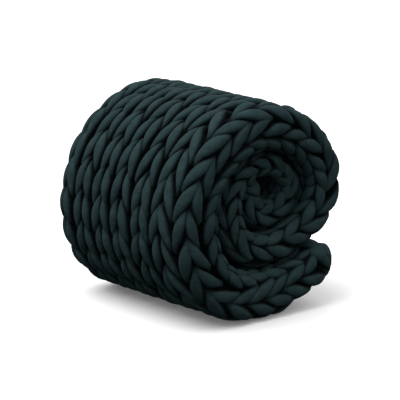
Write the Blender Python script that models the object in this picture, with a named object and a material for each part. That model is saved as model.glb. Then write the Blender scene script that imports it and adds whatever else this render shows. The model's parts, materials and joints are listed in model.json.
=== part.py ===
"""A chunky hand-knit weighted blanket, folded in half lengthwise and rolled into a little over two turns.

The cloth is one closed solid. Its middle line is a spiral in the YZ plane, from the free end (the tail, which
lies on the floor) to the core. The cloth's section is the folded blanket: a long flat ring whose ends are the
near fold at +X and the far fold at -X. Each knit stitch shows as two raised legs that meet like an inverted V.
"""

import math
from typing import NamedTuple

import bmesh
import bpy
import numpy as np

MM = 0.001  # the sizes below are in millimetres

# The roll.
NEAR_FOLD_X = 205.5
FAR_FOLD_X = -209.0
CORE_Y = 36.5  # the spiral's pole, across from the middle of the roll
CORE_Z = 235.5  # and above the floor
ROLL_HEIGHT = 398.0
NEAR_CORNER = 0.64  # the near fold's corner radius, as a share of half the cloth's thickness
FAR_LEAN = 38.0  # how far the top of the far end leans to +Y
TAIL_ROUNDING = 0.93  # how much of the half round of a cut end is built before its flat tip

# The knitting.
COURSE_PITCH = 45.5
FIRST_COURSE = 18.0  # from the tail's end to the middle of the first row of stitches
WALE_SPACING = (74, 56, 60, 53, 54, 56, 53, 52, 52, 52, 52, 52, 52, 52, 56, 64)  # round the ring, from wale 0
FIRST_WALE = 36.0  # wale 0 lies this far round the near shoulder from the fold's crest
WALE_DRIFT_REACH = 260.0  # the near wales wander with the fold, and this far off they run straight
ROW_SKEW = 14.0  # the rows lag by this much at the far fold
LEG_LEAN = math.radians(23)
LEG_HALF_WIDTH = 17.0
LEG_HALF_LENGTH = 34.0
LEG_OFFSET = 0.25  # from the wale's middle, as a share of its width
RELIEF = 14.0  # depth of the hollows between the legs
LEG_FULLNESS = 0.8  # 0.5 gives a leg a round top and steep sides, 1 a gentler one

# The mesh.
COLUMNS_PER_WALE = 8
ROWS_PER_COURSE = 5
CAP_ROWS = 5
SOLID_TRIANGLES = 11000
FLOOR_FADE = 9.0  # the stitches fade out this close above the floor
FLOOR_SNAP = 1.0  # points this close above the floor are set on it

YARN_GREEN = (0.012, 0.042, 0.040, 1.0)
YARN_ROUGHNESS = 0.9


class Turn(NamedTuple):
    """One row of the spiral: where the middle of the folded cloth runs, and how thick it is there."""

    angle: float  # degrees from +Y, downwards past the floor
    radius: float  # from the pole to the middle of the cloth
    thickness: float
    recess: float  # how far the near fold lies behind the roll's near end


SPIRAL = (
    Turn(60, 178, 79, 0),
    Turn(72, 182, 79, 0),
    Turn(84, 182, 81, 0),
    Turn(95, 190, 92, 0),
    Turn(108, 200, 96, 0),
    Turn(120, 210, 96, 0),
    Turn(135, 216, 96, 0),
    Turn(180, 194, 95, 0),
    Turn(225, 149, 90, 0),
    Turn(270, 112, 87, 0),
    Turn(315, 102, 86, 3),
    Turn(360, 114, 84, 6),
    Turn(380, 113, 80, 8),
    Turn(400, 108, 72, 10),
    Turn(420, 102, 58, 12),
    Turn(450, 108, 58, 14),
    Turn(495, 126, 64, 17),
    Turn(540, 110, 56, 20),
    Turn(585, 67, 45, 24),
    Turn(630, 39, 42, 28),
    Turn(675, 32, 42, 31),
    Turn(720, 42, 46, 33),
    Turn(765, 42, 49, 35),
    Turn(810, 49, 51, 37),
    Turn(850, 56, 56, 38),
    Turn(890, 51, 52, 39),
)


class Drift(NamedTuple):
    """How far the near wales wander across the fold, along the cloth from the tail's end."""

    along: float
    shift: float


NEAR_DRIFT = (
    Drift(0, -40),
    Drift(90, -40),
    Drift(200, -21),
    Drift(300, -5),
    Drift(400, 0),
    Drift(500, -14),
    Drift(600, -16),
    Drift(700, -24),
    Drift(800, -36),
    Drift(1600, -36),
)


def smooth_between(x, xs, ys):
    """Smooth curve through the points (xs, ys), with each tangent taken from its neighbours' slopes."""
    xs = np.asarray(xs, float)
    ys = np.asarray(ys, float)
    step = np.diff(xs)
    slope = np.diff(ys) / step
    tangent = np.empty(len(xs))
    tangent[0] = slope[0]
    tangent[-1] = slope[-1]
    tangent[1:-1] = (slope[:-1] * step[1:] + slope[1:] * step[:-1]) / (step[:-1] + step[1:])
    k = np.clip(np.searchsorted(xs, x) - 1, 0, len(step) - 1)
    f = (x - xs[k]) / step[k]
    start = (2 * f**3 - 3 * f**2 + 1) * ys[k] + (f**3 - 2 * f**2 + f) * step[k] * tangent[k]
    end = (3 * f**2 - 2 * f**3) * ys[k + 1] + (f**3 - f**2) * step[k] * tangent[k + 1]
    return start + end


def fade(x, low, high):
    """0 below low, 1 above high, and an even S between them."""
    f = np.clip((x - low) / (high - low), 0, 1)
    return f * f * (3 - 2 * f)


class MiddleLine:
    """The spiral that the middle of the folded cloth follows, sampled finely along its length."""

    SAMPLES = 1600

    def __init__(self):
        angles = [turn.angle for turn in SPIRAL]
        at = np.linspace(angles[0], angles[-1], self.SAMPLES)
        radius = smooth_between(at, angles, [turn.radius for turn in SPIRAL])
        self.y = CORE_Y + radius * np.cos(np.radians(at))
        self.z = CORE_Z - radius * np.sin(np.radians(at))
        self.half = smooth_between(at, angles, [turn.thickness for turn in SPIRAL]) / 2
        self.recess = smooth_between(at, angles, [turn.recess for turn in SPIRAL])
        self.along = np.concatenate([[0], np.cumsum(np.hypot(np.diff(self.y), np.diff(self.z)))])
        self.length = float(self.along[-1])
        run_y = np.gradient(self.y, self.along)
        run_z = np.gradient(self.z, self.along)
        size = np.hypot(run_y, run_z)
        self.run_y = run_y / size
        self.run_z = run_z / size

    def at(self, along, values):
        """The value at a length along the cloth, held level past both ends."""
        return np.interp(along, self.along, values)


def ring_length(half, recess):
    """Length round the folded cloth's section."""
    corner = NEAR_CORNER * half
    flat = NEAR_FOLD_X - recess - corner - FAR_FOLD_X - half
    return 2 * ((half - corner) + math.pi / 2 * corner + flat + math.pi / 2 * half)


def ring_point(around, half, recess):
    """(x, n, turn) at a length round the section from the near fold's crest.

    n is the height off the cloth's middle, positive outwards, and turn is the angle of the surface's normal
    from +X. Negative lengths run over the inner side.
    """
    corner = NEAR_CORNER * half
    crest_flat = half - corner
    corner_end = crest_flat + math.pi / 2 * corner
    flat = NEAR_FOLD_X - recess - corner - FAR_FOLD_X - half
    far = np.abs(around)
    near_turn = np.clip((far - crest_flat) / corner, 0, math.pi / 2)
    far_turn = np.clip((far - corner_end - flat) / half, 0, math.pi / 2)
    x = NEAR_FOLD_X - recess - corner * (1 - np.cos(near_turn))
    x = x - np.clip(far - corner_end, 0, flat) - half * np.sin(far_turn)
    n = np.clip(far, 0, crest_flat) + corner * np.sin(near_turn) - half * (1 - np.cos(far_turn))
    return x, n * np.sign(around), (near_turn + far_turn) * np.sign(around)


def wale_to_around(wale, length, along):
    """Length round the ring, from -half to +half of it, at a wale number that need not be whole."""
    spacing = np.array(WALE_SPACING, float)
    starts = np.concatenate([[0], np.cumsum(spacing)])
    share = np.interp(wale, np.arange(len(starts)), starts / starts[-1])
    around = FIRST_WALE + share * length
    around = np.where(around > length / 2, around - length, around)
    drift = smooth_between(along, [row.along for row in NEAR_DRIFT], [row.shift for row in NEAR_DRIFT])
    near = np.clip(1 - np.abs(around - FIRST_WALE) / WALE_DRIFT_REACH, 0, 1)
    moved = around + drift * near * near * (3 - 2 * near)
    return np.where(moved < -length / 2, moved + length, moved)


def unevenness(wale, course):
    """Small smooth shifts of the hand knitting, (across, along), the same on each run."""
    turn = 2 * math.pi * wale / len(WALE_SPACING)
    across = 1.6 * np.sin(3 * turn + 1.7 * course) + 1.3 * np.sin(5 * turn - 2.3 * course + 1.1)
    along = 2.2 * np.sin(2 * turn + 0.9 * course + 0.6) + 1.8 * np.sin(7 * turn + 1.3 * course)
    return across, along


def leg_dome(across, along, wale_width, side):
    """Height, 0 to 1, of one leg of a stitch at an offset from the stitch's middle."""
    u = across - side * LEG_OFFSET * wale_width
    lean = -side * LEG_LEAN
    over = u * math.cos(lean) - along * math.sin(lean)
    up = u * math.sin(lean) + along * math.cos(lean)
    inside = 1 - (over / LEG_HALF_WIDTH) ** 2 - (up / LEG_HALF_LENGTH) ** 2
    return np.clip(inside, 0, 1) ** LEG_FULLNESS


def stitch_height(wale, course, wale_width):
    """Height, 0 to 1, of the knitting at a point: the highest of the legs that reach it."""
    height = np.zeros_like(wale)
    for wale_step in (-1, 0, 1):
        for course_step in (-1, 0, 1):
            middle_wale = np.round(wale) + wale_step
            middle_course = np.round(course) + course_step
            shift_across, shift_along = unevenness(middle_wale, middle_course)
            across = (wale - middle_wale) * wale_width - shift_across
            along = (course - middle_course) * COURSE_PITCH - shift_along
            for side in (-1, 1):
                height = np.maximum(height, leg_dome(across, along, wale_width, side))
    return height


def exposure(x, n, along, line):
    """1 where the surface shows on the finished roll and 0 where the cloth lies against itself."""
    outer_turn_end = 960.0
    outer = fade(n, 0, 6) * (1 - fade(along, outer_turn_end, outer_turn_end + 60))
    tail_top = fade(-n, 0, 6) * (1 - fade(along, 30, 80))
    depth_near = NEAR_FOLD_X - line.at(along, line.recess) - x
    near_end = 1 - fade(depth_near, 45, 75)
    far_end = 1 - fade(x - FAR_FOLD_X, 45, 75)
    core = fade(along, 1330, 1380) * fade(-n, 0, 6) * (1 - fade(depth_near, 90, 140))
    return np.maximum.reduce([outer, tail_top, near_end, far_end, core])


def cloth_rows(line):
    """(along, thinning) of each row of points, from the tail's tip to the core's end."""
    quarter = np.linspace(0, math.asin(TAIL_ROUNDING), CAP_ROWS + 1)[1:]
    tail = [(-line.half[0] * math.sin(a), math.cos(a)) for a in quarter[::-1]]
    core = [(line.length + line.half[-1] * math.sin(a), math.cos(a)) for a in quarter]
    count = round(line.length / COURSE_PITCH * ROWS_PER_COURSE)
    return tail + [(s, 1.0) for s in np.linspace(0, line.length, count)] + core


def row_points(line, along, thinning):
    """The closed ring of points of one row, in millimetres."""
    columns = COLUMNS_PER_WALE * len(WALE_SPACING)
    wale = np.arange(columns) / COLUMNS_PER_WALE
    inside = float(np.clip(along, 0, line.length))
    half = float(line.at(inside, line.half))
    recess = float(line.at(inside, line.recess)) + half * 0.5 * (1 - thinning)
    length = ring_length(half, recess)
    around = wale_to_around(wale, length, along)
    x, n, turn = ring_point(around, half, recess)
    n = n * thinning
    wale_width = length / len(WALE_SPACING)
    row_along = along + ROW_SKEW * np.clip(around / (length / 2), 0, 1)
    height = stitch_height(wale, (row_along - FIRST_COURSE) / COURSE_PITCH, wale_width)
    run_y = line.at(inside, line.run_y)
    run_z = line.at(inside, line.run_z)
    y = line.at(inside, line.y) + (along - inside) * run_y - n * run_z
    z = line.at(inside, line.z) + (along - inside) * run_z + n * run_y
    shown = exposure(x, n, along, line) * fade(z, 0, FLOOR_FADE)
    depth = RELIEF * (1 - height) * shown * thinning
    x = x - depth * np.cos(turn)
    y = y + depth * np.sin(turn) * run_z
    z = z - depth * np.sin(turn) * run_y
    toward_far = np.clip((NEAR_FOLD_X - x) / (NEAR_FOLD_X - FAR_FOLD_X), 0, 1)
    y = y + FAR_LEAN * toward_far * z / ROLL_HEIGHT
    return np.stack([x, y, np.maximum(z, 0)], 1)


def cloth_mesh(line):
    """The closed skin of the folded, rolled cloth, as a mesh in metres."""
    rows = [row_points(line, along, thinning) for along, thinning in cloth_rows(line)]
    mesh_builder = bmesh.new()
    rings = [[mesh_builder.verts.new(point * MM) for point in row] for row in rows]
    columns = len(rings[0])
    for ring, following in zip(rings, rings[1:]):
        for i in range(columns):
            j = (i + 1) % columns
            mesh_builder.faces.new((ring[i], ring[j], following[j], following[i]))
    for ring in (rings[0], rings[-1]):
        close_end(mesh_builder, ring)
    bmesh.ops.recalc_face_normals(mesh_builder, faces=mesh_builder.faces)
    mesh = bpy.data.meshes.new("blanket_roll")
    mesh_builder.to_mesh(mesh)
    mesh_builder.free()
    return mesh


def close_end(mesh_builder, ring):
    """Closes a narrow end ring with a strip across it, from the outer side to the inner."""
    near = max(range(len(ring)), key=lambda i: ring[i].co.x)
    order = [ring[(near + i) % len(ring)] for i in range(len(ring))]
    for i in range(len(order) // 2 - 1):
        mesh_builder.faces.new((order[i], order[i + 1], order[-i - 2], order[-i - 1]))


def yarn_material():
    """Dark green cotton yarn."""
    material = bpy.data.materials.new("dark_green_yarn")
    material.use_nodes = True
    shader = material.node_tree.nodes["Principled BSDF"]
    shader.inputs["Base Color"].default_value = YARN_GREEN
    shader.inputs["Roughness"].default_value = YARN_ROUGHNESS
    shader.inputs["Metallic"].default_value = 0.0
    return material


def lighten(obj, triangles):
    """Brings the mesh down to about this many triangles, keeping its ridges and its flat base."""
    faces = 2 * len(obj.data.polygons)
    modifier = obj.modifiers.new("lighten", "DECIMATE")
    modifier.ratio = triangles / faces
    modifier.use_collapse_triangulate = True
    evaluated = obj.evaluated_get(bpy.context.evaluated_depsgraph_get())
    lighter = bpy.data.meshes.new_from_object(evaluated)
    obj.modifiers.clear()
    obj.data = lighter


def flatten_base(mesh):
    """Sets each point that is almost on the floor exactly on it."""
    for vertex in mesh.vertices:
        if vertex.co.z < FLOOR_SNAP * MM:
            vertex.co.z = 0.0


def centre_over_origin(mesh):
    """Moves the roll so that the middle of its outline is over the origin."""
    points = np.array([vertex.co[:] for vertex in mesh.vertices])
    middle = (points.min(axis=0) + points.max(axis=0)) / 2
    for vertex in mesh.vertices:
        vertex.co.x -= middle[0]
        vertex.co.y -= middle[1]


def main():
    """Clears the scene and builds the blanket."""
    for obj in list(bpy.data.objects):
        bpy.data.objects.remove(obj)
    blanket = bpy.data.objects.new("blanket_roll", cloth_mesh(MiddleLine()))
    bpy.context.scene.collection.objects.link(blanket)
    lighten(blanket, SOLID_TRIANGLES)
    flatten_base(blanket.data)
    centre_over_origin(blanket.data)
    blanket.data.materials.append(yarn_material())
    blanket.data.shade_smooth()


main()
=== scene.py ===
"""A chunky hand-knit weighted blanket, folded in half lengthwise and rolled up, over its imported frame.

Every stitch is built from yarn. One closed yarn runs round the folded cloth for each course, in the loops
of plain knitting: two plump legs in front, and the head and the foot of the loop behind them. The rolled
cloth is a spiral of a flat ring, the same one that the frame's solid has, and each yarn is laid on it.

A place on the cloth is a wale number round the ring, a length along the cloth from its tail, and a depth
below its surface. Lengths are in mm until RolledCloth.settle gives them in metres.
"""

import json
import logging
import math
from dataclasses import dataclass, field
from enum import Enum
from typing import NamedTuple

import bmesh
import bpy
import numpy as np
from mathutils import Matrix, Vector

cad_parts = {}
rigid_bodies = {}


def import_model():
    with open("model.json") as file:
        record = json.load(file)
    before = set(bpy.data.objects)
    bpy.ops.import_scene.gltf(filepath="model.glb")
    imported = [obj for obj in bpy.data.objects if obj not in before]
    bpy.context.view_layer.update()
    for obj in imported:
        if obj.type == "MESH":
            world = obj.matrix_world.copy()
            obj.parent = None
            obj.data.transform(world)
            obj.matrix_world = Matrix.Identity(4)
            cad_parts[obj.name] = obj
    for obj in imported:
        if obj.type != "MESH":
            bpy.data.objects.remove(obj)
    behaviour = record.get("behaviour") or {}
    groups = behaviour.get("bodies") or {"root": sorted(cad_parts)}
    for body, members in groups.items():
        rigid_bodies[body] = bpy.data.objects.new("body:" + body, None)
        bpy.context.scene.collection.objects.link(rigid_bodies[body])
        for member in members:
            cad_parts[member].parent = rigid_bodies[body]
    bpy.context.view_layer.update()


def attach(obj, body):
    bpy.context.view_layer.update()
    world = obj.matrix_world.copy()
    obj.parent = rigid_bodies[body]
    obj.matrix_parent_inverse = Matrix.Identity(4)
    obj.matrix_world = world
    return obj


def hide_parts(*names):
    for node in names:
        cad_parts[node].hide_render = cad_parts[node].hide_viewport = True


LOG = logging.getLogger("weighted_blanket")
MM = 0.001
BLANKET_NODE = "blanket_roll"
BODY = "root"
RECESS = "recess"  # the attribute for how deep a point of the yarn lies below the cloth's surface, in mm, which sets the yarn's painted shade

Array = np.ndarray
Tint = tuple[float, float, float]


class Turn(NamedTuple):
    """One row of the spiral: where the middle of the folded cloth runs, and how thick it is there."""

    angle: float  # degrees from +Y, downwards past the floor
    radius: float  # mm from the spiral's pole
    thickness: float  # mm
    recess: float  # mm that the near fold lies behind the roll's near end


class Drift(NamedTuple):
    """How far the near wales wander across the fold, at a length along the cloth, in mm."""

    along: float
    shift: float


SPIRAL: tuple[Turn, ...] = (
    Turn(60, 178, 79, 0),
    Turn(72, 182, 79, 0),
    Turn(84, 182, 81, 0),
    Turn(95, 190, 92, 0),
    Turn(108, 200, 96, 0),
    Turn(120, 210, 96, 0),
    Turn(135, 216, 96, 0),
    Turn(180, 194, 95, 0),
    Turn(225, 149, 90, 0),
    Turn(270, 112, 87, 0),
    Turn(315, 102, 86, 3),
    Turn(360, 114, 84, 6),
    Turn(380, 113, 80, 8),
    Turn(400, 108, 72, 10),
    Turn(420, 102, 58, 12),
    Turn(450, 108, 58, 14),
    Turn(495, 126, 64, 17),
    Turn(540, 110, 56, 20),
    Turn(585, 67, 45, 24),
    Turn(630, 39, 42, 28),
    Turn(675, 32, 42, 31),
    Turn(720, 42, 46, 33),
    Turn(765, 42, 49, 35),
    Turn(810, 49, 51, 37),
    Turn(850, 56, 56, 38),
    Turn(890, 51, 52, 39),
)

NEAR_DRIFT: tuple[Drift, ...] = (
    Drift(0, -40),
    Drift(90, -40),
    Drift(200, -21),
    Drift(300, -5),
    Drift(400, 0),
    Drift(500, -14),
    Drift(600, -16),
    Drift(700, -24),
    Drift(800, -36),
    Drift(1600, -36),
)

# Widths of the wales in the outer turns, round the ring from wale 0, which lies on the near fold.
WALE_SPACING: tuple[float, ...] = (74, 56, 60, 53, 54, 56, 53, 52, 52, 52, 52, 52, 52, 52, 56, 64)
WALES = len(WALE_SPACING)


def smooth_between(x: Array, xs: list[float], ys: list[float]) -> Array:
    """Smooth curve through points, with each tangent taken from its neighbours' slopes.

    Args:
        x: Where to read the curve.
        xs: The points' places, in rising order.
        ys: The points' values.

    Returns:
        The curve's values at x.
    """
    places = np.asarray(xs, float)
    values = np.asarray(ys, float)
    step = np.diff(places)
    slope = np.diff(values) / step
    tangent = np.empty(len(places))
    tangent[0] = slope[0]
    tangent[-1] = slope[-1]
    tangent[1:-1] = (slope[:-1] * step[1:] + slope[1:] * step[:-1]) / (step[:-1] + step[1:])
    k = np.clip(np.searchsorted(places, x) - 1, 0, len(step) - 1)
    f = (x - places[k]) / step[k]
    start = (2 * f**3 - 3 * f**2 + 1) * values[k] + (f**3 - 2 * f**2 + f) * step[k] * tangent[k]
    end = (3 * f**2 - 2 * f**3) * values[k + 1] + (f**3 - f**2) * step[k] * tangent[k + 1]
    return start + end


def eased(share: Array | float) -> Array | float:
    """A share from 0 to 1 that leaves 0 and reaches 1 softly."""
    return share * share * (3 - 2 * share)


@dataclass
class RolledCloth:
    """The folded cloth's spiral and its flat ring of a section, in mm, as the frame's solid has them."""

    near_fold: float = 205.5  # x of the near fold's crest
    far_fold: float = -209.0
    core_y: float = 36.5  # the spiral's pole
    core_z: float = 235.5
    height: float = 398.0
    near_corner: float = 0.64  # corner radius of the near fold, in half thicknesses of the cloth
    far_lean: float = 38.0  # how far the top of the far end leans to +Y
    row_skew: float = 14.0  # how much nearer to the tail a course lies at the far fold
    first_wale: float = 36.0  # from the near fold's crest to wale 0
    drift_reach: float = 260.0  # how far round the ring the drift of the near wales is felt
    even_wales: tuple[float, float] = (980.0, 1180.0)  # where along the cloth the wales become even
    core_wale: float = 51.0  # width of the even wales
    end_rounding: float = 0.93  # how much of the half round at a cut end is built
    end_recess: float = 0.5  # how far the near fold draws back at a cut end, in half thicknesses
    floor_softness: float = 4.0  # height below which the yarns are pressed flat by the floor
    centring: tuple[float, float] = (1.4, -3.0)  # moves the roll's outline to the middle
    samples: int = 1600
    along: Array = field(init=False)  # lengths along the cloth of the samples, whose values follow
    y: Array = field(init=False)
    z: Array = field(init=False)
    half: Array = field(init=False)  # half thickness
    recess: Array = field(init=False)
    run_y: Array = field(init=False)  # the direction of the spiral
    run_z: Array = field(init=False)

    def __post_init__(self) -> None:
        """Samples the spiral finely along its length."""
        angles = [turn.angle for turn in SPIRAL]
        at = np.linspace(angles[0], angles[-1], self.samples)
        radius = smooth_between(at, angles, [turn.radius for turn in SPIRAL])
        self.y = self.core_y + radius * np.cos(np.radians(at))
        self.z = self.core_z - radius * np.sin(np.radians(at))
        self.half = smooth_between(at, angles, [turn.thickness for turn in SPIRAL]) / 2
        self.recess = smooth_between(at, angles, [turn.recess for turn in SPIRAL])
        steps = np.hypot(np.diff(self.y), np.diff(self.z))
        self.along = np.concatenate([[0.0], np.cumsum(steps)])
        run_y = np.gradient(self.y, self.along)
        run_z = np.gradient(self.z, self.along)
        size = np.hypot(run_y, run_z)
        self.run_y = run_y / size
        self.run_z = run_z / size

    @property
    def length(self) -> float:
        """Length of the rolled cloth from its tail to its core end."""
        return float(self.along[-1])

    def at(self, along: Array, values: Array) -> Array:
        """A sampled value at a length along the cloth, held level past both ends."""
        return np.interp(along, self.along, values)

    def flat_length(self, half: Array, recess: Array) -> Array:
        """Length of the flat side of the folded cloth's section, between its two folds."""
        return self.near_fold - recess - self.near_corner * half - self.far_fold - half

    def ring_length(self, half: Array, recess: Array) -> Array:
        """Length round the folded cloth's section.

        Args:
            half: Half of the cloth's thickness there.
            recess: How far the near fold lies back.

        Returns:
            The length.
        """
        corner = self.near_corner * half
        flat = self.flat_length(half, recess)
        return 2 * ((half - corner) + math.pi / 2 * corner + flat + math.pi / 2 * half)

    def ring_point(self, around: Array, half: Array, recess: Array) -> tuple[Array, Array, Array]:
        """A point of the section's outline.

        Args:
            around: Length round the section from the near fold's crest, negative over the inner side.
            half: Half of the cloth's thickness there.
            recess: How far the near fold lies back.

        Returns:
            x, the height off the cloth's middle, and the angle of the outline's normal from +X.
        """
        corner = self.near_corner * half
        crest_flat = half - corner
        corner_end = crest_flat + math.pi / 2 * corner
        flat = self.flat_length(half, recess)
        far = np.abs(around)
        near_turn = np.clip((far - crest_flat) / corner, 0, math.pi / 2)
        far_turn = np.clip((far - corner_end - flat) / half, 0, math.pi / 2)
        x = self.near_fold - recess - corner * (1 - np.cos(near_turn))
        x = x - np.clip(far - corner_end, 0, flat) - half * np.sin(far_turn)
        height = np.clip(far, 0, crest_flat) + corner * np.sin(near_turn) - half * (1 - np.cos(far_turn))
        side = np.sign(around)
        return x, height * side, (near_turn + far_turn) * side

    def wale_to_around(self, wale: Array, ring: Array, along: Array) -> Array:
        """Finds wales on the ring.

        Args:
            wale: Wale numbers, which need not be whole.
            ring: Length round the whole ring there.
            along: Lengths along the cloth.

        Returns:
            Lengths round the ring from the near fold's crest, from -half to +half of the ring.
        """
        starts = np.concatenate([[0.0], np.cumsum(WALE_SPACING)])
        number = np.mod(wale, WALES)
        share = np.interp(number, np.arange(WALES + 1), starts / starts[-1])
        share = share + self.evenness(along) * (number / WALES - share)
        around = self.first_wale + share * ring
        around = np.where(around > ring / 2, around - ring, around)
        drift = smooth_between(along, [row.along for row in NEAR_DRIFT], [row.shift for row in NEAR_DRIFT])
        near = np.clip(1 - np.abs(around - self.first_wale) / self.drift_reach, 0, 1)
        moved = around + drift * eased(near)
        return np.where(moved < -ring / 2, moved + ring, moved)

    def evenness(self, along: Array | float) -> Array | float:
        """How evenly the wales are spaced, from 0 in the outer turns to 1 in the core."""
        start, end = self.even_wales
        return eased(np.clip((along - start) / (end - start), 0, 1))

    def wale_width(self, wale: Array, along: Array | float) -> Array:
        """Room that the wales have for their yarn, smoothed between neighbours.

        Args:
            wale: Wale numbers, which need not be whole.
            along: Length along the cloth.

        Returns:
            The widths.
        """
        middles = np.arange(-1, WALES + 1) + 0.5
        widths = [WALE_SPACING[-1], *WALE_SPACING, WALE_SPACING[0]]
        width = np.interp(np.mod(wale, WALES), middles, widths)
        return width + self.evenness(along) * (self.core_wale - width)

    def place(self, wale: Array, along: Array, depth: Array) -> tuple[Array, Array]:
        """Lays points of the knitting on the rolled cloth.

        Args:
            wale: Wale numbers round the ring.
            along: Lengths along the cloth.
            depth: How deep below the cloth's surface each point lies.

        Returns:
            The points and the surface's outward normals there, one row each.
        """
        inside = np.clip(along, 0, self.length)
        half = self.at(inside, self.half)
        past = np.clip((along - inside) / half, -self.end_rounding, self.end_rounding)
        thinning = np.sqrt(1 - past**2)
        recess = self.at(inside, self.recess) + half * self.end_recess * (1 - thinning)
        ring = self.ring_length(half, recess)
        around = self.wale_to_around(wale, ring, along)
        along = along - self.row_skew * np.abs(around) / (ring / 2)
        inside = np.clip(along, 0, self.length)
        x, height, turn = self.ring_point(around, half, recess)
        run_y = self.at(inside, self.run_y)
        run_z = self.at(inside, self.run_z)
        out_x = np.cos(turn)
        out_n = np.sin(turn) * thinning
        out_s = past
        size = np.sqrt(out_x**2 + out_n**2 + out_s**2)
        x = x - depth * out_x / size
        n = height * thinning - depth * out_n / size
        s = (along - inside) - depth * out_s / size
        y = self.at(inside, self.y) + s * run_y - n * run_z
        z = self.at(inside, self.z) + s * run_z + n * run_y
        normal = np.stack([out_x, out_s * run_y - out_n * run_z, out_s * run_z + out_n * run_y], -1)
        return np.stack([x, y, z], -1), normal / size[..., None]

    def settle(self, points: Array) -> Array:
        """Leans the far end, rests the underside on the floor and centres the roll.

        Args:
            points: Points of the rolled cloth, in mm.

        Returns:
            The settled points, in metres.
        """
        x, y, z = points[..., 0], points[..., 1], points[..., 2]
        toward_far = np.clip((self.near_fold - x) / (self.near_fold - self.far_fold), 0, 1)
        y = y + self.far_lean * toward_far * z / self.height
        soft = self.floor_softness
        z = np.where(z < soft, soft * np.exp((np.minimum(z, soft) - soft) / soft), z)
        return np.stack([x + self.centring[0], y + self.centring[1], z], -1) * MM


class Strand(NamedTuple):
    """One closed yarn as it lies on the cloth, with a value for each of its points, in mm."""

    points: Array  # its middle
    normals: Array  # the cloth's outward normals there, which its flatter side faces
    half_width: Array
    half_depth: Array
    below: Array  # how far its middle lies below the cloth's surface
    slim: Array  # how much of its usual thickness the yarn keeps there, as a share


class Ripple(NamedTuple):
    """One smooth wave of the hand knitting's unevenness."""

    size: float
    waves: int  # round the whole cloth
    course_turn: float  # radians from one course to the next
    start: float = 0.0  # radians


def rippled(ripples: tuple[Ripple, ...], wale: Array, course: int) -> Array:
    """Sum of some ripples along one course.

    Args:
        ripples: The ripples.
        wale: Wale numbers, which need not be whole.
        course: The course's number.

    Returns:
        The sum at each wale number.
    """
    turn = 2 * math.pi * wale / WALES
    return sum(row.size * np.sin(row.waves * turn + row.course_turn * course + row.start) for row in ripples)


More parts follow.
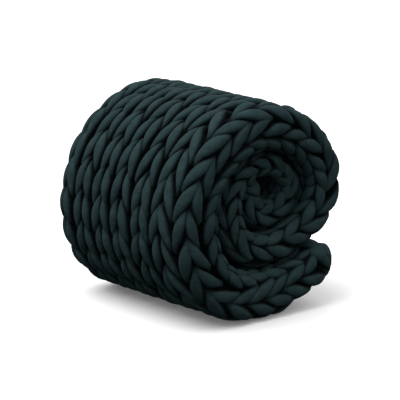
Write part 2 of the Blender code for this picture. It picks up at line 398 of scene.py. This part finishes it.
@dataclass
class KnitLoop:
    """The path of the loops of plain knitting, and how thick the yarn is along them."""

    # The courses, in mm along the cloth.
    pitch: float = 45.5
    first_course: float = 18.0
    core_course: int = 24  # from this course on they lie closer together
    core_pitch: float = 37.2

    # The loop's path. "wide" is added where the wales are as wide as the near fold's, and in the core.
    neck: float = 0.200  # how far the loop bulges sideways, in wales
    wide_neck: float = 0.130
    straightening: float = 0.050  # how much straighter the middle of a leg is, in wales
    closeness: float = 0.03  # how much nearer a loop's own legs stand than the next loop's, in wales
    reach: float = 0.85  # how far the head and the foot reach along, in courses
    wide_reach: float = 0.10
    edge_reach: float = 0.62  # reach of the first course's heads, which the edge chain holds back
    head_tuck: float = 21.0  # mm that the head lies behind the legs
    foot_tuck: float = 18.0
    head_bend: float = 7.0  # how suddenly a leg turns back to its head
    foot_bend: float = 4.6
    crowding: float = 0.35  # how much closer the yarn's rings stand along the legs than at their ends

    # The yarn's thickness.
    half_width: float = 10.9  # mm, in a usual wale
    half_depth: float = 12.0  # mm
    usual_wale: float = 52.0  # mm
    widest: float = 1.35  # the near fold's wales, in usual wales
    widening: float = 0.3  # how far the yarn fills a wider wale, as a power of its width
    full_half: float = 42.0  # half thickness of the cloth, in mm, where the yarn is at its plumpest
    slimmest: float = 0.72  # the least share of its thickness that the yarn keeps
    slim_narrowing: float = 0.1  # how much of the lost thickness shows in its width
    taper: tuple[float, float] = (0.08, 0.78)  # where a leg starts and stops thinning, 1 being its end
    head_slimming: float = 0.52  # how much slimmer the yarn is at the head than in the middle of a leg
    foot_slimming: float = 0.60
    wide_slimming: float = -0.04
    core_slimming: float = 0.12
    end_flattening: float = 0.35  # how much shallower it is at its head and foot

    # The flat backs of the stitches.
    back_depth: float = 0.54  # how deep they lie, in half thicknesses of the cloth
    back_thickness: float = 0.12
    back_width: float = 0.58  # half of their width, in courses

    # The hand knitting's unevenness.
    across: tuple[Ripple, ...] = (Ripple(1.9, 3, 1.7), Ripple(1.6, 5, -2.3, 1.1))  # mm
    across_wale: float = 54.0  # mm of shift across that make one wale
    shift: tuple[Ripple, ...] = (Ripple(2.6, 2, 0.9, 0.6), Ripple(2.4, 7, 1.3))  # mm along the cloth
    plumpness: tuple[Ripple, ...] = (Ripple(0.045, 9, 2.9), Ripple(0.04, 13, -1.9, 2.0))
    lean: tuple[Ripple, ...] = (Ripple(0.022, 6, 2.1, 0.4), Ripple(0.022, 11, -1.3))  # wales

    def slim(self, half: Array) -> Array:
        """Share of its full thickness that the yarn keeps, by half the cloth's thickness."""
        return np.clip(half / self.full_half, self.slimmest, 1)

    def course_place(self, course: int) -> tuple[float, float]:
        """Finds a course on the cloth.

        Args:
            course: The course's number, from the tail.

        Returns:
            Its length along the cloth, and the pitch of the courses there.
        """
        in_core = max(0, course - self.core_course)
        pitch = self.core_pitch if in_core else self.pitch
        return self.first_course + self.pitch * (course - in_core) + self.core_pitch * in_core, pitch

    def back(self, cloth: RolledCloth, course: int, steps: int) -> Strand:
        """Lays the backs of one course's stitches, which show only as the floor of the gaps, dark with
        shadow and painted shade.

        Args:
            cloth: The rolled cloth.
            course: The course's number, from the tail.
            steps: Points in each wale.

        Returns:
            One flat yarn under the course.
        """
        theta = np.arange(WALES * steps) / steps
        place, pitch = self.course_place(course)
        along = np.full(len(theta), place)
        half = cloth.at(along, cloth.half)
        depth = self.back_depth * half
        points, normals = cloth.place(theta, along, depth)
        wide = np.full(len(theta), self.back_width * pitch)
        return Strand(points, normals, wide, self.back_thickness * half, depth, self.slim(half))

    def path(self, cloth: RolledCloth, course: int, steps: int) -> Strand:
        """Lays one course of loops round the cloth.

        Along a course, a loop's head lies at each whole number of theta, its foot half way to the next
        one, and a leg between them.

        Args:
            cloth: The rolled cloth.
            course: The course's number, from the tail.
            steps: Points in each loop.

        Returns:
            The course's yarn.
        """
        theta = np.arange(WALES * steps) / steps
        theta = theta + self.crowding * np.sin(4 * math.pi * theta) / (4 * math.pi)
        wave = 2 * math.pi * theta
        headward = np.cos(wave)  # 1 at the head, 0 in the middle of a leg and -1 at the foot
        place, pitch = self.course_place(course)
        room = cloth.wale_width(theta, place) / self.usual_wale
        even = cloth.evenness(place)
        spread = np.clip((room - 1) / (self.widest - 1), 0, 1)
        spread = spread + even * (1 - spread)
        plump = rippled(self.plumpness, theta, course)

        neck = self.neck + self.wide_neck * spread + rippled(self.lean, theta, course)
        wale = theta + neck * np.sin(2 * wave) + self.straightening * np.sin(4 * wave)
        wale = wale - self.closeness * np.sin(wave) + rippled(self.across, theta, course) / self.across_wale
        held = (headward > 0) & (course == 0)
        reach = np.where(held, self.edge_reach, self.reach + self.wide_reach * spread)
        along = place - pitch * reach * headward + rippled(self.shift, theta, course)

        half = cloth.at(np.clip(along, 0, cloth.length), cloth.half)
        slim = self.slim(half)
        deep = self.half_depth * slim
        to_head = np.clip(headward, 0, 1)
        to_foot = np.clip(-headward, 0, 1)
        depth = deep + self.head_tuck * to_head**self.head_bend + self.foot_tuck * to_foot**self.foot_bend

        start, finish = self.taper
        end = eased(np.clip((np.abs(headward) - start) / (finish - start), 0, 1))
        slimming = np.where(headward > 0, self.head_slimming, self.foot_slimming)
        slimming = slimming + self.wide_slimming * spread + self.core_slimming * even
        fullness = (1 - slimming * end + plump) * (1 - self.slim_narrowing * (1 - slim))
        wide = self.half_width * room**self.widening * fullness
        deep = deep * (1 - self.end_flattening * end + plump)
        points, normals = cloth.place(wale, along, depth)
        return Strand(points, normals, wide, deep, depth, slim)


class ClothEnd(Enum):
    """Which end of the cloth an edge is on."""

    TAIL = "tail"
    CORE = "core"


@dataclass
class EdgeChain:
    """The chain that closes the knitting at one end of the cloth, in two rows of two strands each."""

    end: ClothEnd
    past: tuple[float, float] = (17.0, 32.0)  # mm past the end, of each row
    half_width: float = 14.5
    half_depth: float = 11.5
    swell: float = 0.10  # how much plumper a strand is where it lies on top
    sway: tuple[float, float] = (6.0, 3.0)  # mm along, of each row
    tuck: tuple[float, float] = (11.0, 6.0)  # mm deeper where a strand lies below, of each row
    turn: float = 0.4  # where the links lie along the edge, as an angle of their twist

    def paths(self, cloth: RolledCloth, steps: int) -> list[Strand]:
        """Lays the chain's strands round the end of the cloth.

        Args:
            cloth: The rolled cloth.
            steps: Points in each link.

        Returns:
            The four strands.
        """
        theta = np.arange(WALES * steps) / steps
        full = np.ones(len(theta))
        strands = []
        for past, sway, tuck in zip(self.past, self.sway, self.tuck):
            for strand in range(2):
                wave = math.pi * (theta + strand) + self.turn
                run = past + sway * np.sin(wave)
                along = -run if self.end is ClothEnd.TAIL else cloth.length + run
                fullness = 1 + self.swell * np.cos(wave)
                depth = self.half_depth + tuck * (1 - np.cos(wave)) / 2
                points, normals = cloth.place(theta, along, depth)
                wide = self.half_width * fullness
                strands.append(Strand(points, normals, wide, self.half_depth * fullness, depth, full))
        return strands


class Tube(NamedTuple):
    """One closed yarn's surface."""

    rings: Array  # its points, by their place along and round the yarn
    run: Array  # length along the yarn at each ring and back at the first, in units of the UV map
    recess: Array  # value of the recess attribute at each point


@dataclass
class YarnMesh:
    """Makes closed yarns as tubes on one mesh, with a UV map that runs along and round each yarn."""

    name: str
    sides: int = 16
    squareness: float = 0.80  # 1 for a round section, less for one that its neighbours press flat
    uv_length: float = 100.0  # mm of yarn for one unit of the map
    tubes: list[Tube] = field(default_factory=list)

    def add(self, strand: Strand) -> None:
        """Adds one closed yarn.

        Args:
            strand: The yarn.
        """
        points, normals, wide, deep, below, slim = strand
        tangent = np.roll(points, -1, 0) - np.roll(points, 1, 0)
        tangent /= np.linalg.norm(tangent, axis=1)[:, None]
        up = normals - (normals * tangent).sum(1)[:, None] * tangent
        up /= np.linalg.norm(up, axis=1)[:, None]
        side = np.cross(tangent, up)
        angle = 2 * math.pi * np.arange(self.sides) / self.sides
        across = np.sign(np.cos(angle)) * np.abs(np.cos(angle)) ** self.squareness
        height = np.sign(np.sin(angle)) * np.abs(np.sin(angle)) ** self.squareness
        rings = (
            points[:, None]
            + (wide[:, None] * across)[..., None] * side[:, None]
            + (deep[:, None] * height)[..., None] * up[:, None]
        )
        steps = np.linalg.norm(np.roll(points, -1, 0) - points, axis=1)
        run = np.concatenate([[0.0], np.cumsum(steps)]) / self.uv_length
        # How deep each point lies below the cloth's surface, which the material turns into painted shade.
        recess = (below[:, None] - deep[:, None] * height) / slim[:, None]
        self.tubes.append(Tube(rings, run, recess))

    def build(self, cloth: RolledCloth) -> bpy.types.Object:
        """Builds the piece.

        Args:
            cloth: The rolled cloth that the yarns lie on.

        Returns:
            The new object, at the origin.
        """
        builder = bmesh.new()
        for tube in self.tubes:
            self._bend(builder, tube._replace(rings=cloth.settle(tube.rings)))
        bmesh.ops.recalc_face_normals(builder, faces=builder.faces)
        mesh = bpy.data.meshes.new(self.name)
        builder.to_mesh(mesh)
        builder.free()
        mesh.shade_smooth()
        piece = bpy.data.objects.new(self.name, mesh)
        bpy.context.scene.collection.objects.link(piece)
        return piece

    def _bend(self, builder: bmesh.types.BMesh, tube: Tube) -> None:
        """Bends a flat grid into one closed tube and joins its seams.

        Args:
            builder: The mesh to add it to.
            tube: The yarn's surface, in metres.
        """
        count = len(tube.rings)
        uv = builder.loops.layers.uv.verify()
        floats = builder.verts.layers.float
        recess = floats.get(RECESS) or floats.new(RECESS)
        grid = bmesh.ops.create_grid(
            builder, x_segments=count, y_segments=self.sides, size=0.5, calc_uvs=False
        )
        place: dict[bmesh.types.BMVert, tuple[int, int]] = {}
        first: dict[tuple[int, int], bmesh.types.BMVert] = {}
        for vert in grid["verts"]:
            i = round((vert.co.x + 0.5) * count)
            j = round((vert.co.y + 0.5) * self.sides)
            place[vert] = (i, j)
            if i < count and j < self.sides:
                first[(i, j)] = vert
        seam: dict[bmesh.types.BMVert, bmesh.types.BMVert] = {}
        for vert, (i, j) in place.items():
            for loop in vert.link_loops:
                loop[uv].uv = (tube.run[i], j / self.sides)
            wrapped = (i % count, j % self.sides)
            vert.co = tube.rings[wrapped]
            vert[recess] = tube.recess[wrapped]
            if first[wrapped] is not vert:
                seam[vert] = first[wrapped]
        bmesh.ops.weld_verts(builder, targetmap=seam)


class Grain(NamedTuple):
    """A noise on Object coordinates."""

    scale: float
    detail: float


class Relief(NamedTuple):
    """How strongly a height bends the light."""

    strength: float
    distance: float  # m


@dataclass(frozen=True)
class NodeBench:
    """Adds nodes to one material and joins them."""

    nodes: bpy.types.Nodes
    links: bpy.types.NodeLinks

    def math(
        self, kind: str, first: bpy.types.NodeSocket, second: bpy.types.NodeSocket | float | None = None
    ) -> bpy.types.NodeSocket:
        """Adds a step of arithmetic.

        Args:
            kind: Blender's name for it.
            first: The value it starts from.
            second: The other value, if it has one.

        Returns:
            The result.
        """
        node = self.nodes.new("ShaderNodeMath")
        node.operation = kind
        self.links.new(first, node.inputs[0])
        if isinstance(second, bpy.types.NodeSocket):
            self.links.new(second, node.inputs[1])
        elif second is not None:
            node.inputs[1].default_value = second
        return node.outputs[0]

    def noise(self, grain: Grain, place: bpy.types.NodeSocket) -> bpy.types.NodeSocket:
        """Adds a noise.

        Args:
            grain: Its size and detail.
            place: The coordinates that it is laid on.

        Returns:
            Its value, from 0 to 1.
        """
        node = self.nodes.new("ShaderNodeTexNoise")
        node.inputs["Scale"].default_value = grain.scale
        node.inputs["Detail"].default_value = grain.detail
        self.links.new(place, node.inputs["Vector"])
        return node.outputs["Fac"]

    def bump(
        self, relief: Relief, height: bpy.types.NodeSocket, under: bpy.types.NodeSocket | None = None
    ) -> bpy.types.NodeSocket:
        """Adds a bump.

        Args:
            relief: How strong it is.
            height: The height that it shows.
            under: The normal of a bump below it, if there is one.

        Returns:
            The bumped normal.
        """
        node = self.nodes.new("ShaderNodeBump")
        node.inputs["Strength"].default_value = relief.strength
        node.inputs["Distance"].default_value = relief.distance
        self.links.new(height, node.inputs["Height"])
        if under is not None:
            self.links.new(under, node.inputs["Normal"])
        return node.outputs["Normal"]


@dataclass(frozen=True)
class YarnFinish:
    """Dark green tubular cotton yarn: a fine knitted jersey over a soft filling."""

    base: Tint = (0.0165, 0.0335, 0.0365)
    pale: Tint = (0.0245, 0.0465, 0.0495)
    deep: Tint = (0.0105, 0.0225, 0.0245)
    tones: tuple[float, float, float] = (0.30, 0.5, 0.70)  # where the deep, base and pale colours lie
    roughness: float = 0.88
    gloss: float = 0.06
    sheen: float = 0.01
    sheen_roughness: float = 0.5
    sheen_tint: Tint = (0.75, 0.92, 0.92)

    # The jersey's ribs round the yarn, and its slanting rows along it.
    rib_count: float = 26.0
    row_count: float = 34.0  # in 100 mm of yarn
    row_height: float = 0.35  # against the ribs
    fine_relief: Relief = Relief(0.2, 0.0006)

    # The soft creases of the filling, and the cotton's fuzz.
    creases: Grain = Grain(55.0, 4.0)
    fuzz: Grain = Grain(900.0, 3.0)
    soft_relief: Relief = Relief(0.75, 0.004)

    # How much each of them changes the tone. The creases and the ribs make the yarn darker in the hollows of
    # their own bumps, which is painted shade; the creases and the fuzz also vary the tone at random.
    crease_tone_and_shade: float = 0.5
    fuzz_tone: float = 0.35
    rib_groove_shade: float = 0.05
    tone_lift: float = 0.08

    # Painted shade: the colour is darkened deep between the stitches, where shade falls.
    painted_shade: float = 0.12  # share of the colour that the painted shade leaves deep in the creases
    painted_shade_from: float = 2.0  # mm below the cloth's surface, where the painted shade begins
    painted_shade_to: float = 9.5

    def material(self) -> bpy.types.Material:
        """Builds the yarn's material.

        Returns:
            The material, whose fine pattern follows the yarn's own UV map.
        """
        made = bpy.data.materials.new("dark_green_yarn")
        made.use_nodes = True
        bench = NodeBench(made.node_tree.nodes, made.node_tree.links)
        shader = bench.nodes["Principled BSDF"]
        shader.inputs["Roughness"].default_value = self.roughness
        shader.inputs["Sheen Weight"].default_value = self.sheen
        shader.inputs["Sheen Roughness"].default_value = self.sheen_roughness
        shader.inputs["Sheen Tint"].default_value = (*self.sheen_tint, 1)
        shader.inputs["Specular IOR Level"].default_value = self.gloss

        jersey = self._jersey(bench)
        place = bench.nodes.new("ShaderNodeTexCoord").outputs["Object"]
        fuzz = bench.noise(self.fuzz, place)
        creases = bench.noise(self.creases, place)
        fine = bench.bump(self.fine_relief, jersey)
        soft = bench.bump(self.soft_relief, creases, fine)
        bench.links.new(soft, shader.inputs["Normal"])

        # Painted shade in the tone: darker in the hollows of the crease and rib bumps, with random tone from
        # the creases and the fuzz.
        tone = bench.math("MULTIPLY", creases, self.crease_tone_and_shade)
        tone = bench.math("ADD", tone, bench.math("MULTIPLY", fuzz, self.fuzz_tone))
        tone = bench.math("ADD", tone, bench.math("MULTIPLY", jersey, self.rib_groove_shade))
        tone = bench.math("ADD", tone, self.tone_lift)
        # The base colour carries painted shade deep between the stitches.
        bench.links.new(self._paint_shade(bench, self._colour(bench, tone)), shader.inputs["Base Color"])
        return made

    def _jersey(self, bench: NodeBench) -> bpy.types.NodeSocket:
        """Adds the fine knit of the yarn's cover.

        Args:
            bench: The material's nodes.

        Returns:
            Its height.
        """
        split = bench.nodes.new("ShaderNodeSeparateXYZ")
        bench.links.new(bench.nodes.new("ShaderNodeUVMap").outputs["UV"], split.inputs[0])
        rib = bench.math("MULTIPLY", split.outputs["Y"], self.rib_count)
        saw = bench.math("PINGPONG", rib, 0.5)
        row = bench.math("MULTIPLY", split.outputs["X"], self.row_count)
        slant = bench.math("ADD", row, saw)
        wave = bench.math("SINE", bench.math("MULTIPLY", slant, 2 * math.pi))
        groove = bench.math("SINE", bench.math("MULTIPLY", saw, 2 * math.pi))
        return bench.math("ADD", bench.math("MULTIPLY", wave, self.row_height), groove)

    def _colour(self, bench: NodeBench, tone: bpy.types.NodeSocket) -> bpy.types.NodeSocket:
        """Adds the yarn's colours.

        Args:
            bench: The material's nodes.
            tone: How pale the yarn is, from 0 to 1.

        Returns:
            The colour.
        """
        ramp = bench.nodes.new("ShaderNodeValToRGB")
        stops = ramp.color_ramp.elements
        stops[0].position = self.tones[0]
        stops[0].color = (*self.deep, 1)
        stops[1].position = self.tones[2]
        stops[1].color = (*self.pale, 1)
        middle = stops.new(self.tones[1])
        middle.color = (*self.base, 1)
        bench.links.new(tone, ramp.inputs["Fac"])
        return ramp.outputs["Color"]

    def _paint_shade(self, bench: NodeBench, colour: bpy.types.NodeSocket) -> bpy.types.NodeSocket:
        """Paints shade into the colour: darkens it deep between the stitches, by the recess attribute.

        Args:
            bench: The material's nodes.
            colour: The yarn's colour.

        Returns:
            The colour with its painted shade.
        """
        recess = bench.nodes.new("ShaderNodeAttribute")
        recess.attribute_name = RECESS
        painted_shade = bench.nodes.new("ShaderNodeMapRange")
        painted_shade.interpolation_type = "SMOOTHSTEP"
        painted_shade.inputs["From Min"].default_value = self.painted_shade_from
        painted_shade.inputs["From Max"].default_value = self.painted_shade_to
        painted_shade.inputs["To Min"].default_value = 1.0
        painted_shade.inputs["To Max"].default_value = self.painted_shade
        bench.links.new(recess.outputs["Fac"], painted_shade.inputs["Value"])
        shade_painted_colour = bench.nodes.new("ShaderNodeMix")
        shade_painted_colour.data_type = "RGBA"
        shade_painted_colour.blend_type = "MULTIPLY"
        shade_painted_colour.inputs["Factor"].default_value = 1.0
        bench.links.new(colour, shade_painted_colour.inputs["A"])
        bench.links.new(painted_shade.outputs["Result"], shade_painted_colour.inputs["B"])
        return shade_painted_colour.outputs["Result"]


class CourseGroup(NamedTuple):
    """The courses of one piece."""

    name: str
    first: int
    end: int  # the first course of the next piece


@dataclass
class Blanket:
    """The whole blanket, as yarn laid on the rolled cloth."""

    cloth: RolledCloth = field(default_factory=RolledCloth)
    loop: KnitLoop = field(default_factory=KnitLoop)
    finish: YarnFinish = field(default_factory=YarnFinish)
    steps: int = 28  # rings of a loop's yarn
    back_steps: int = 6
    groups: tuple[CourseGroup, ...] = (
        CourseGroup("tail_yarn", 0, 11),
        CourseGroup("outer_turn_yarn", 11, 22),
        CourseGroup("inner_turn_yarn", 22, 29),
        CourseGroup("core_yarn", 29, 36),
    )

    def build(self) -> list[bpy.types.Object]:
        """Builds the yarn pieces.

        Returns:
            The new pieces.
        """
        pieces = [self._courses(group) for group in self.groups]
        pieces.append(self._edges())
        material = self.finish.material()
        for piece in pieces:
            piece.data.materials.append(material)
            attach(piece, BODY)
            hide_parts(BLANKET_NODE)
            LOG.info("%s: %d faces", piece.name, len(piece.data.polygons))
        return pieces

    def _courses(self, group: CourseGroup) -> bpy.types.Object:
        """Builds the loops and the backs of one group of courses.

        Args:
            group: The courses.

        Returns:
            The new piece.
        """
        yarn = YarnMesh(group.name)
        for course in range(group.first, group.end):
            yarn.add(self.loop.path(self.cloth, course, self.steps))
            yarn.add(self.loop.back(self.cloth, course, self.back_steps))
        return yarn.build(self.cloth)

    def _edges(self) -> bpy.types.Object:
        """Builds the chains at both ends of the cloth.

        Returns:
            The new piece.
        """
        yarn = YarnMesh("edge_chain")
        for end in ClothEnd:
            for strand in EdgeChain(end).paths(self.cloth, self.steps):
                yarn.add(strand)
        return yarn.build(self.cloth)


@dataclass
class Studio:
    """A pale floor, soft light from the upper left and the camera."""

    # The camera, which looks from an azimuth and an elevation in degrees, at a distance in metres.
    azimuth: float = 49.7
    elevation: float = 12.6
    distance: float = 3.6
    pixels_per_mm: float = 0.533  # at the target
    frame_pixels: float = 400.0
    target: tuple[float, float, float] = (-0.0051, -0.0030, 0.1931)
    target_pixel: tuple[float, float] = (197.0, 197.5)
    sensor: float = 36.0
    far_clip: float = 40.0

    # The white dome. Its shares are a height, from 0 below to 1 overhead, and how bright the dome is there.
    dome_strength: float = 1.24
    dome_shares: tuple[tuple[float, float], ...] = ((0.35, 0.03), (1.0, 1.0), (0.49, 0.42))

    # The key light, turned from the camera's azimuth, with its angles in degrees.
    key_strength: float = 2.15
    key_spread: float = 50.0
    key_turn: float = -60.0
    key_height: float = 62.0
    key_distance: float = 2.6
    key_target: tuple[float, float, float] = (0.0, 0.0, 0.2)

    # The floor, in metres.
    floor_half: float = 12.0
    floor_tint: Tint = (0.95, 0.95, 0.95)
    floor_roughness: float = 0.7
    floor_glow: float = 0.08  # softens the shadow on the floor
    glow_tint: Tint = (1.0, 0.98, 0.99)

    def build(self) -> None:
        """Builds the floor, the lights and the camera."""
        self._floor()
        self._world()
        self._lights()
        self._camera()

    def _floor(self) -> None:
        """A pale floor that runs out of the view."""
        builder = bmesh.new()
        bmesh.ops.create_grid(builder, x_segments=8, y_segments=8, size=self.floor_half)
        mesh = bpy.data.meshes.new("studio_floor")
        builder.to_mesh(mesh)
        builder.free()
        floor = bpy.data.objects.new("studio_floor", mesh)
        bpy.context.scene.collection.objects.link(floor)
        floor.visible_diffuse = False
        floor.visible_glossy = False
        material = bpy.data.materials.new("pale_floor")
        material.use_nodes = True
        shader = material.node_tree.nodes["Principled BSDF"]
        shader.inputs["Base Color"].default_value = (*self.floor_tint, 1)
        shader.inputs["Roughness"].default_value = self.floor_roughness
        shader.inputs["Emission Color"].default_value = (*self.glow_tint, 1)
        shader.inputs["Emission Strength"].default_value = self.floor_glow
        mesh.materials.append(material)

    def _world(self) -> None:
        """A white dome over the floor, with little light from below."""
        world = bpy.data.worlds.new("studio_world")
        world.use_nodes = True
        nodes = world.node_tree.nodes
        links = world.node_tree.links
        background = nodes["Background"]
        direction = nodes.new("ShaderNodeTexCoord")
        split = nodes.new("ShaderNodeSeparateXYZ")
        links.new(direction.outputs["Generated"], split.inputs[0])
        height = nodes.new("ShaderNodeMapRange")
        height.inputs["From Min"].default_value = -1.0
        links.new(split.outputs["Z"], height.inputs["Value"])
        dome = nodes.new("ShaderNodeValToRGB")
        stops = dome.color_ramp.elements
        for stop, (place, share) in zip((stops[0], stops[1], stops.new(0.5)), self.dome_shares):
            stop.position = place
            stop.color = (share, share, share, 1)
        links.new(height.outputs["Result"], dome.inputs["Fac"])
        links.new(dome.outputs["Color"], background.inputs["Color"])
        background.inputs["Strength"].default_value = self.dome_strength
        bpy.context.scene.world = world
        bpy.context.scene.view_settings.view_transform = "Standard"

    def _lights(self) -> None:
        """A large soft light from the upper left of the camera."""
        light = bpy.data.lights.new("key_light", "SUN")
        light.energy = self.key_strength
        light.angle = math.radians(self.key_spread)
        lamp = bpy.data.objects.new("key_light", light)
        back = self._direction(self.azimuth + self.key_turn, self.key_height)
        lamp.location = Vector(self.key_target) + back * self.key_distance
        lamp.rotation_euler = back.to_track_quat("Z", "Y").to_euler()
        bpy.context.scene.collection.objects.link(lamp)

    @staticmethod
    def _direction(azimuth: float, elevation: float) -> Vector:
        """Unit vector from the object towards a place at an azimuth and elevation in degrees."""
        a, e = math.radians(azimuth), math.radians(elevation)
        return Vector((math.sin(a) * math.cos(e), -math.cos(a) * math.cos(e), math.sin(e)))

    def _camera(self) -> None:
        """The camera, at the photograph's angle and distance."""
        data = bpy.data.cameras.new("camera")
        camera = bpy.data.objects.new("camera", data)
        bpy.context.scene.collection.objects.link(camera)
        back = self._direction(self.azimuth, self.elevation)
        focal_pixels = self.pixels_per_mm * self.distance / MM
        data.sensor_width = self.sensor
        data.lens = focal_pixels / self.frame_pixels * self.sensor
        data.shift_x = (self.frame_pixels / 2 - self.target_pixel[0]) / self.frame_pixels
        data.shift_y = (self.target_pixel[1] - self.frame_pixels / 2) / self.frame_pixels
        data.clip_end = self.far_clip
        camera.location = Vector(self.target) + back * self.distance
        camera.rotation_euler = back.to_track_quat("Z", "Y").to_euler()
        bpy.context.scene.camera = camera


def main() -> None:
    """Loads the frame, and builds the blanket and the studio."""
    logging.basicConfig(level=logging.INFO, format="%(message)s")
    for obj in list(bpy.data.objects):
        bpy.data.objects.remove(obj)
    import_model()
    pieces = Blanket().build()
    Studio().build()


if __name__ == "__main__":
    main()
